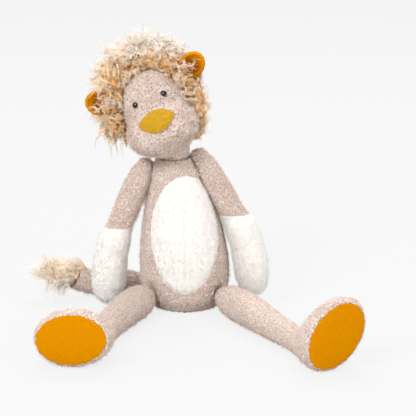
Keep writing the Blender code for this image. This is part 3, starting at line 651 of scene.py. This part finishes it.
makeTorso()
print("torso made")


# arms

armCut = {
    "voxel": 0.0013, "smoothing": 8, "fill": 0.8, "fuzz": 2500, "pile": 8000, "lumps": 0.008,
    "lumpHeight": 0.0016, "bendTop": 0.012, "bendLow": 0.058,
}


def makeArm(side):
    cut = armCut
    body = "arm_" + side
    arm = softForm("mittenPlush_" + side, ["upper_arm_" + side, "mitten_" + side, "arm_filling_" + side],
                   cut["voxel"], cut["smoothing"])
    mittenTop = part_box("mitten_" + side)[1].z
    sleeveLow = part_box("upper_arm_" + side)[0].z
    wrist = (mittenTop + sleeveLow) / 2
    centres = faceCentres(arm)
    sleeve = splitOff(arm, centres[:, 2] > wrist, "sleeveCloth_" + side)
    knit(sleeve)
    swell(arm, "CLOUDS", cut["lumps"], cut["lumpHeight"])
    dressBlend(sleeve, boucle,
               ["upper_arm_" + side, "arm_filling_" + side])
    dress(arm, plush, body, ["mitten_" + side])
    fuzz = shortHair(sleeve, "sleeveFuzz_" + side, cut["fuzz"], 3, fuzzLook)
    dressBlend(fuzz, beigeHair)
    pile = shortHair(arm, "mittenPile_" + side, cut["pile"], 4, pileLook)
    dress(pile, whiteHair, body)


for side in ("left", "right"):
    makeArm(side)
print("arms made")


# legs and soles

legCut = {
    "voxel": 0.0015, "smoothing": 8, "fill": 0.8, "fuzz": 5000, "soleReach": 0.006, "bendBack": 0.012,
    "bendFront": 0.070,
}


def makeLeg(side):
    cut = legCut
    joint = joints["leg_" + side + "_lift"]
    body = "leg_" + side
    leg = softForm("legCloth_" + side, ["leg_" + side, "sole_" + side, "leg_filling_" + side],
                   cut["voxel"], cut["smoothing"])
    soleTree = BVHTree.FromPolygons(*meshLists(nodes["sole_" + side]))
    coverTree = BVHTree.FromPolygons(*meshLists(nodes["leg_" + side]))
    centres = faceCentres(leg)
    onSole = []
    for centre in centres:
        place = Vector(centre)
        near = soleTree.find_nearest(place, cut["soleReach"])[3]
        other = coverTree.find_nearest(place, cut["soleReach"])[3]
        onSole.append(near is not None and (other is None or near < other))
    sole = splitOff(leg, onSole, "soleLinen_" + side)
    knit(leg)
    way = np.cross((0, 0, 1), np.array(joint["axis"]))
    way = way / np.linalg.norm(way)
    if way[1] > 0:
        way = -way
    dressBlend(leg, boucle,
               ["leg_" + side, "leg_filling_" + side])
    dress(sole, linen, body, ["sole_" + side])
    fuzz = shortHair(leg, "legFuzz_" + side, cut["fuzz"], 5, fuzzLook)
    dressBlend(fuzz, beigeHair)


for side in ("left", "right"):
    makeLeg(side)
print("legs made")


# head, nose, eyes and ears

headPose = {"roll": -22.5, "pitch": -8}
headCut = {"voxel": 0.0012, "smoothing": 6, "fill": 0.85, "fuzz": 6500, "fuzzSize": 0.75}
noseCut = {"voxel": 0.0006, "smoothing": 4, "fill": 0.7}
eyeCut = {"levels": 2}
earCut = {"voxel": 0.0008, "smoothing": 6, "fill": 0.3, "foot": 0.8, "shadeReach": 1.5, "cupDepth": 0.003}


def faceWay():  # the way that the face looks
    turn = Matrix.Rotation(math.radians(headPose["roll"]), 3, "Y")
    turn = turn @ Matrix.Rotation(math.radians(headPose["pitch"]), 3, "X")
    return np.array(turn @ Vector((0, -1, 0)))


def makeHead():
    cut = headCut
    head = softForm("headCloth", ["head_cover", "head_filling"], cut["voxel"], cut["smoothing"])
    knit(head)
    dress(head, faceCloth, "head", ["head_cover", "head_filling"])
    coverTree = BVHTree.FromPolygons(*meshLists(nodes["head_cover"]))
    fillTree = BVHTree.FromPolygons(*meshLists(nodes["head_filling"]))

    def onFace(centres):
        share = []
        for centre in centres:
            place = Vector(centre)
            share.append(1.0 if coverTree.find_nearest(place)[3] < fillTree.find_nearest(place)[3] else 0.0)
        return np.array(share)

    fuzz = shortHair(head, "faceFuzz", cut["fuzz"], 6, fuzzLook, onFace, cut["fuzzSize"])
    dress(fuzz, beigeHair, "head")


def makeNose():
    nose = softForm("noseFelt", ["nose"], noseCut["voxel"], noseCut["smoothing"])
    dress(nose, felt, "head", ["nose"])


def makeEyes():
    for side in ("left", "right"):
        eye = copyOfNodes("eyeGloss_" + side, ["eye_" + side])
        useModifier(eye, "SUBSURF", levels=eyeCut["levels"], render_levels=eyeCut["levels"])
        bpy.ops.object.shade_smooth()
        dress(eye, gloss, "head", ["eye_" + side])
        nodes["eye_washer_" + side].data.materials.clear()
        nodes["eye_washer_" + side].data.materials.append(washer)


def earPlace(side):  # middle and half size of an ear
    low, high = (np.array(corner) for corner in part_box("ear_" + side))
    return (low + high) / 2, (high - low)[[0, 2]].mean() / 2


def makeEars():
    cut = earCut
    low, high = (np.array(corner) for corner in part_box("head_filling"))
    forward = faceWay()
    for side in ("left", "right"):
        ear = softForm("earLinen_" + side, ["ear_" + side], cut["voxel"], cut["smoothing"])
        middle, size = earPlace(side)
        foot = middle + unit((low + high) / 2 - middle) * size * cut["foot"]
        cup = middle - forward * cut["cupDepth"]
        # painted shade darkens each ear's linen in its cup and towards its foot
        cloth = linenFinish("earLinen" + side.title(), foot, size * cut["shadeReach"], cup)
        dress(ear, cloth, "head", ["ear_" + side])


makeHead()
makeNose()
makeEyes()
makeEars()
print("head made")


# neck

neckCut = {"voxel": 0.0016, "smoothing": 4, "fill": 0.8}


def makeNeck():
    neck = softForm("neckCloth", ["neck_filling"], neckCut["voxel"], neckCut["smoothing"])
    knit(neck)
    dress(neck, boucle, "neck", ["neck_filling"])


makeNeck()
print("neck made")


# tail

tailCut = {"voxel": 0.0014, "smoothing": 6, "fill": 0.8, "fuzz": 1500, "bend": (-0.028, 0.008, 0)}


def makeTail():
    cut = tailCut
    covered = ["tail_cover", "tail_filling"]
    tail = softForm("tailCloth", covered, cut["voxel"], cut["smoothing"])
    knit(tail)
    dressBlend(tail, boucle, covered)
    fuzz = shortHair(tail, "tailFuzz", cut["fuzz"], 7, fuzzLook)
    dressBlend(fuzz, beigeHair)


makeTail()
print("tail made")


# mane and tuft

lockShape = {
    "reach": (0.70, 1.08), "turns": (0.6, 1.4), "phase": 0.25, "curl": (0.5, 1.4), "flat": 0.8, "bend": 0.18,
    "rise": 0.4, "waves": 6, "toneByLock": 0.16, "toneByStrand": 0.07,
}
maneCut = {
    "seed": 11, "voxel": 0.003, "smoothing": 6, "fill": 0.5, "lumps": 0.008, "lumpHeight": 0.006,
    "locks": 1330, "perLock": 9, "steps": 9, "bare": 0.0095, "earShown": {"left": 0.10, "right": 0.40},
    "earDepth": 0.010,
    "sides": 0.20, "radius": 0.00048, "pieces": 6, "start": 0.50, "extra": 0.004, "reach": 0.008,
    "curl": 0.0052, "turns": 1.9, "spread": 0.0005, "fray": 2.0, "stray": 0.40, "sag": (0, 0, -0.15),
    "swirl": 0.60, "swirlSize": 0.012, "core": 0.72, "hem": 0.228, "hemFade": 0.022, "hemLeast": 0.30,
}
fringeCut = {
    "locks": 170, "nearFace": 0.0065, "leastReach": 0.004, "leastHem": 0.9, "out": 0.30, "forward": 0.80,
    "stray": 0.35, "length": (0.010, 0.023), "sag": (0, 0, -0.28), "swirl": 0.6, "tone": 0.12,
}
wispCut = {
    "locks": {"left": 17, "right": 18}, "every": 4, "depth": 0.010, "inward": 0.45, "forward": 0.010,
    "stray": 0.42, "length": (0.9, 1.25), "tone": 0.1,
}
# the mane's tones, with painted light on its top and a band of painted shade behind the fringe
toneAndPaintedLight = {
    "low": 0.357, "high": 0.380, "tone": 0.52, "paleTone": 0.52, "band": 0.015, "bandWidth": 0.008,
    "bandTone": 0.34,
}
# the pale colour is painted light on the mane's top, and the tuft's own colour
coatLook = {
    "stops": ((0.3, (214, 144, 72)), (0.52, (240, 184, 116)), (0.75, (252, 216, 168))), "lumps": 240,
    "pale": (255, 246, 234), "paleShare": 0.75, "relief": 0.003, "bump": 1.0,
}


def swirl(places, out, size, rng):  # a sideways lean that neighbouring locks share
    lean = np.zeros(places.shape)
    for _ in range(lockShape["waves"]):
        waves = rng.normal(size=3) / size
        lean += np.sin(places @ waves + rng.random() * math.tau)[:, None] * rng.normal(size=3)
    return unit(lean - out * (lean * out).sum(axis=1)[:, None])


def lockLines(root, way, length, rng, look, sag, lean=0.0):
    # bundles of strands that wave together and fray towards their tips
    locks, per, steps = len(root), look["perLock"], look["steps"]
    reach = rng.uniform(*lockShape["reach"], (locks, per, 1, 1))
    share = np.linspace(0, 1, steps)[None, None, :, None] * reach
    side, other = (axis[:, None, None] for axis in squareTo(way))
    turns = look["turns"] * rng.uniform(*lockShape["turns"], (locks, 1, 1, 1))
    phase = rng.random((locks, 1, 1, 1)) * math.tau
    phase = phase + rng.normal(size=(locks, per, 1, 1)) * lockShape["phase"]
    wave = phase + share * turns * math.tau
    curl = look["curl"] * rng.uniform(*lockShape["curl"], (locks, 1, 1, 1))
    wind = side * (np.cos(wave) - np.cos(phase)) + other * (np.sin(wave) - np.sin(phase)) * lockShape["flat"]
    long = length[:, None, None, None]
    bend = rng.normal(size=(locks, 1, 1, 3)) * lockShape["bend"] + np.array(sag)
    bend = bend + np.broadcast_to(lean, (locks, 3))[:, None, None]
    line = root[:, None, None] + way[:, None, None] * long * share + bend * long * share ** 2
    offset = rng.normal(size=(locks, per, 1, 3)) * look["spread"]
    line = line + wind * curl * share ** lockShape["rise"] + offset * (1 + look["fray"] * share ** 2)
    return line.reshape(locks * per, steps, 3)


def lockTones(tone, per, rng):  # mostly by lock, a little by strand
    strands = np.repeat(tone + rng.normal(size=len(tone)) * lockShape["toneByLock"], per)
    return np.clip(strands + rng.normal(size=len(strands)) * lockShape["toneByStrand"], 0, 1)


def hemShare(points):  # the pile is short below the cheeks, as on the photographed side
    share = (points[:, 2] - maneCut["hem"]) / maneCut["hemFade"]
    return np.clip(share, maneCut["hemLeast"], 1)


def makeMane():
    cut = maneCut
    rng = np.random.default_rng(cut["seed"])
    core = softForm("maneCore", ["mane"], cut["voxel"], cut["smoothing"])
    fillTree = BVHTree.FromPolygons(*meshLists(nodes["head_filling"]))
    faceTree = BVHTree.FromPolygons(*meshLists(nodes["head_cover"]))
    forward = faceWay()
    place, _ = scatter(core, cut["locks"] * 4, rng)
    scalp = np.array([fillTree.find_nearest(Vector(point))[0] for point in place])
    near = np.array([faceTree.find_nearest(Vector(point))[3] for point in place])
    reach = np.linalg.norm(place - scalp, axis=1)
    out = unit(place - scalp)
    lean = swirl(place, out, cut["swirlSize"], rng) * cut["swirl"]
    # painted light: locks are paler towards the top of the mane; painted shade: a darker band on the locks
    # just behind the fringe, near the face's edge
    pale = np.clip((place[:, 2] - toneAndPaintedLight["low"]) / (toneAndPaintedLight["high"] - toneAndPaintedLight["low"]), 0, 1)
    band = np.exp(-((near - toneAndPaintedLight["band"]) / toneAndPaintedLight["bandWidth"]) ** 2)
    tone = toneAndPaintedLight["tone"] + pale * toneAndPaintedLight["paleTone"] - band * (1 - pale) * toneAndPaintedLight["bandTone"]
    hem = hemShare(place)

    # locks all over, but not in front of the ears' cups
    clear = reach > cut["bare"]
    headMiddle = scalp.mean(axis=0)
    for side, shown in cut["earShown"].items():
        middle, size = earPlace(side)
        ahead = (place - middle) @ forward
        across = place - middle - ahead[:, None] * forward
        outer = across @ unit(middle - headMiddle) > shown * size
        clear &= (np.linalg.norm(across, axis=1) > size) | (ahead < -cut["earDepth"]) | ~outer
    chosen = np.flatnonzero(clear)[:cut["locks"]]
    reach = reach * (1 - cut["sides"] * np.abs(out[:, 0])) * hem
    start = scalp[chosen] + out[chosen] * (reach[chosen] * cut["start"])[:, None]
    way = unit(out[chosen] + rng.normal(size=start.shape) * cut["stray"])
    tips = (cut["extra"] + cut["reach"] * rng.random(len(chosen))) * hem[chosen]
    length = reach[chosen] * (1 - cut["start"]) + tips
    lines = [lockLines(start, way, length, rng, cut, cut["sag"], lean[chosen])]
    tones = [lockTones(tone[chosen], cut["perLock"], rng)]

    # the fringe starts along the mane's seam and leans over the edge of the face
    fringe = fringeCut
    seam = (near < fringe["nearFace"]) & (reach > fringe["leastReach"]) & (hem > fringe["leastHem"])
    seam = np.flatnonzero(seam)[:fringe["locks"]]
    way = out[seam] * fringe["out"] + forward * fringe["forward"]
    way = unit(way + rng.normal(size=(len(seam), 3)) * fringe["stray"])
    length = rng.uniform(*fringe["length"], len(seam))
    lines.append(lockLines(place[seam], way, length, rng, cut, fringe["sag"], lean[seam] * fringe["swirl"]))
    tones.append(lockTones(tone[seam] + fringe["tone"], cut["perLock"], rng))

    # wisps that cross the feet of the ears
    wisp = wispCut
    for side, count in wisp["locks"].items():
        middle, size = earPlace(side)
        about = np.argsort(np.linalg.norm(place - middle, axis=1))[:count * wisp["every"]:wisp["every"]]
        start = place[about] - out[about] * wisp["depth"]
        goal = middle - unit(middle - scalp[about]) * size * wisp["inward"] + forward * wisp["forward"]
        goal = goal + rng.normal(size=start.shape) * size * wisp["stray"]
        length = np.linalg.norm(goal - start, axis=1) * rng.uniform(*wisp["length"], count)
        lines.append(lockLines(start, unit(goal - start), length, rng, cut, cut["sag"]))
        tones.append(lockTones(tone[about] + wisp["tone"], cut["perLock"], rng))
    lines = np.concatenate(lines)
    tones = np.concatenate(tones)
    print("mane strands", len(lines), "fringe locks", len(seam))
    for number, chosen in enumerate(np.array_split(np.arange(len(lines)), cut["pieces"])):
        piece = strandMesh("maneHair_" + str(number), lines[chosen], cut["radius"], tones[chosen])
        dress(piece, maneHair, "head")
    points = pointsOf(core)
    scalp = np.array([fillTree.find_nearest(Vector(point))[0] for point in points])
    setPoints(core, scalp + (points - scalp) * (cut["core"] * hemShare(points))[:, None])
    swell(core, "CLOUDS", cut["lumps"], cut["lumpHeight"])
    # painted light: the undercoat is paler on the top of the mane
    coat = undercoatFinish("undercoat", toneAndPaintedLight["low"], toneAndPaintedLight["high"])
    dress(core, coat, "head", ["mane"])


def undercoatFinish(name, low, high):  # tan, and pale above the given heights: on the mane this is painted light on its top, on the tuft the tuft's own pale colour
    finish = Finish(name)
    lumps = finish.noise(coatLook["lumps"], 4, 0.6)
    stops = [(place, colour(*seen)) for place, seen in coatLook["stops"]]
    pale = finish.span(finish.axis(finish.place(), 2), low, high, 0, coatLook["paleShare"])
    coat = finish.mixed(pale, finish.ramp(lumps, stops), colour(*coatLook["pale"]))
    return finish.done(coat, clothRough, lumps, coatLook["relief"], coatLook["bump"])


makeMane()
print("mane made")


tuftCut = {
    "seed": 12, "voxel": 0.002, "smoothing": 4, "fill": 0.5, "lumps": 0.010, "lumpHeight": 0.004,
    "rootIn": 0.004, "rootDrop": 0.004, "locks": 200, "perLock": 9, "steps": 9, "radius": 0.00034,
    "curl": 0.0026, "turns": 1.8, "spread": 0.0008, "fray": 2.6, "startAlong": 0.6, "startOut": 0.35,
    "along": 0.9, "out": 0.55, "stray": 0.20, "length": (0.016, 0.034), "sag": (0, 0, -0.08), "swirl": 0.5,
    "swirlSize": 0.014, "core": 0.45, "coreAlong": 0.6, "coatFade": 0.01, "tone": 0.95,
}
overCut = {"locks": 24, "reach": 0.024, "along": 0.8, "out": 0.6, "stray": 0.25, "length": (0.014, 0.026)}


def makeTuft():
    cut = tuftCut
    rng = np.random.default_rng(cut["seed"])
    core = softForm("tuftCore", ["tail_tuft"], cut["voxel"], cut["smoothing"])
    low, high = (np.array(corner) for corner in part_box("tail_tuft"))
    across, up = (low[1] + high[1]) / 2, (low[2] + high[2]) / 2
    root = np.array((high[0] - cut["rootIn"], across, up - cut["rootDrop"]))
    axis = np.array((low[0], across, up)) - root
    place, _ = scatter(core, cut["locks"], rng)
    along = np.clip(((place - root) @ axis) / (axis @ axis), 0, 1)[:, None]
    middle = root + axis * along
    start = root + axis * along * cut["startAlong"] + (place - middle) * cut["startOut"]
    way = unit(axis) * cut["along"] + unit(place - start) * cut["out"]
    way = unit(way + rng.normal(size=place.shape) * cut["stray"])
    length = rng.uniform(*cut["length"], cut["locks"])
    lean = swirl(place, way, cut["swirlSize"], rng) * cut["swirl"]
    lines = [lockLines(start, way, length, rng, cut, cut["sag"], lean)]

    # locks that lie over the end of the tail's cloth
    over = overCut

    def nearTip(centres):
        return (np.linalg.norm(centres - root, axis=1) < over["reach"]) * (centres[:, 2] > root[2])

    start, normal = scatter(bpy.data.objects["tailCloth"], over["locks"], rng, nearTip)
    way = unit(axis) * over["along"] + normal * over["out"]
    way = unit(way + rng.normal(size=start.shape) * over["stray"])
    length = rng.uniform(*over["length"], over["locks"])
    lean = swirl(start, way, cut["swirlSize"], rng) * cut["swirl"]
    lines.append(lockLines(start, way, length, rng, cut, cut["sag"], lean))
    lines = np.concatenate(lines)
    tones = lockTones(np.full(cut["locks"] + over["locks"], cut["tone"]), cut["perLock"], rng)
    hair = strandMesh("tuftHair", lines, cut["radius"], tones)
    dress(hair, maneHair, "tail")
    points = pointsOf(core)
    middle = root + axis * np.clip(((points - root) @ axis) / (axis @ axis), 0, 1)[:, None]
    setPoints(core, root + (middle - root) * cut["coreAlong"] + (points - middle) * cut["core"])
    swell(core, "CLOUDS", cut["lumps"], cut["lumpHeight"])
    coat = undercoatFinish("tuftCoat", low[2] - cut["coatFade"], low[2])
    dress(core, coat, "tail", ["tail_tuft"])


makeTuft()
print("tuft made")


# floor, light and camera

studio = {"size": 6.0, "sky": 0.66, "pale": 0.94, "floor": 0.62, "paper": 0.88, "aim": (0, 0, 0.18)}
lamps = {
    "key": {"place": (-1.2, -2.2, 2.0), "size": 0.9, "power": 58},
    "fill": {"place": (2.0, -1.7, 1.2), "size": 2.0, "power": 18},
    "rim": {"place": (0.2, 1.1, 2.5), "size": 1.6, "power": 46},
    "glint": {"place": (-1.2, -2.3, 2.1), "size": 1.6, "power": 170},
}
view = {"target": (0.032, 0, 0.142), "distance": 3.2, "elevation": 14, "angle": 10.4, "clipStart": 0.05}


def grey(value):
    return value, value, value, 1


def makeFloor():
    deselectAll()
    bpy.ops.mesh.primitive_plane_add(size=studio["size"] * 2, location=(0, 0, 0))
    floor = bpy.context.view_layer.objects.active
    floor.name = "floor"
    finish = Finish("paleFloor")
    finish.shader.inputs["Base Color"].default_value = grey(studio["floor"])
    finish.shader.inputs["Roughness"].default_value = 1.0
    seen = finish.node("LightPath")  # to the camera the floor is mostly plain paper, with a faint shadow
    glow = finish.tree.nodes.new("ShaderNodeEmission")
    glow.inputs["Color"].default_value = grey(studio["pale"])
    mix = finish.tree.nodes.new("ShaderNodeMixShader")
    finish.tree.links.new((seen * studio["paper"]).socket, mix.inputs[0])
    finish.tree.links.new(finish.shader.outputs[0], mix.inputs[1])
    finish.tree.links.new(glow.outputs[0], mix.inputs[2])
    finish.tree.links.new(mix.outputs[0], finish.tree.nodes["Material Output"].inputs["Surface"])
    floor.data.materials.append(finish.material)


def makeLights():
    for name, settings in lamps.items():
        light = bpy.data.lights.new(name, "AREA")
        light.energy = settings["power"]
        light.size = settings["size"]
        lamp = bpy.data.objects.new(name, light)
        bpy.context.scene.collection.objects.link(lamp)
        lamp.location = settings["place"]
        lamp.visible_diffuse = name != "glint"  # the glint only adds to reflections, as in the eyes
        aim = Vector(studio["aim"]) - Vector(settings["place"])
        lamp.rotation_euler = aim.to_track_quat("-Z", "Y").to_euler()


def makeWorld():
    world = bpy.data.worlds.new("studio")
    world.use_nodes = True
    tree = world.node_tree
    background = tree.nodes["Background"]
    background.inputs["Color"].default_value = (1, 1, 1, 1)
    background.inputs["Strength"].default_value = studio["sky"]
    paper = tree.nodes.new("ShaderNodeBackground")
    paper.inputs["Color"].default_value = grey(studio["pale"])
    paths = tree.nodes.new("ShaderNodeLightPath")
    mix = tree.nodes.new("ShaderNodeMixShader")
    tree.links.new(paths.outputs["Is Camera Ray"], mix.inputs[0])
    tree.links.new(background.outputs[0], mix.inputs[1])
    tree.links.new(paper.outputs[0], mix.inputs[2])
    tree.links.new(mix.outputs[0], tree.nodes["World Output"].inputs["Surface"])
    bpy.context.scene.world = world


def makeCamera():
    lift = math.radians(view["elevation"])
    target = Vector(view["target"])
    place = target + Vector((0, -math.cos(lift), math.sin(lift))) * view["distance"]
    lens = bpy.data.cameras.new("photo")
    lens.sensor_width = 36
    lens.angle = math.radians(view["angle"])
    lens.clip_start = view["clipStart"]
    camera = bpy.data.objects.new("photo", lens)
    bpy.context.scene.collection.objects.link(camera)
    camera.location = place
    camera.rotation_euler = (target - place).to_track_quat("-Z", "Y").to_euler()
    bpy.context.scene.camera = camera


makeFloor()
makeLights()
makeWorld()
makeCamera()
bpy.context.scene.view_settings.view_transform = "Standard"
print("studio made")


largePiece = 150000


def countTriangles():
    total = 0
    for thing in bpy.data.objects:
        if thing.type == "MESH" and not thing.hide_render:
            count = sum(len(face.vertices) - 2 for face in thing.data.polygons)
            total += count
            if count > largePiece:
                print(thing.name, count, "triangles")
    print("triangles in all", total)


countTriangles()
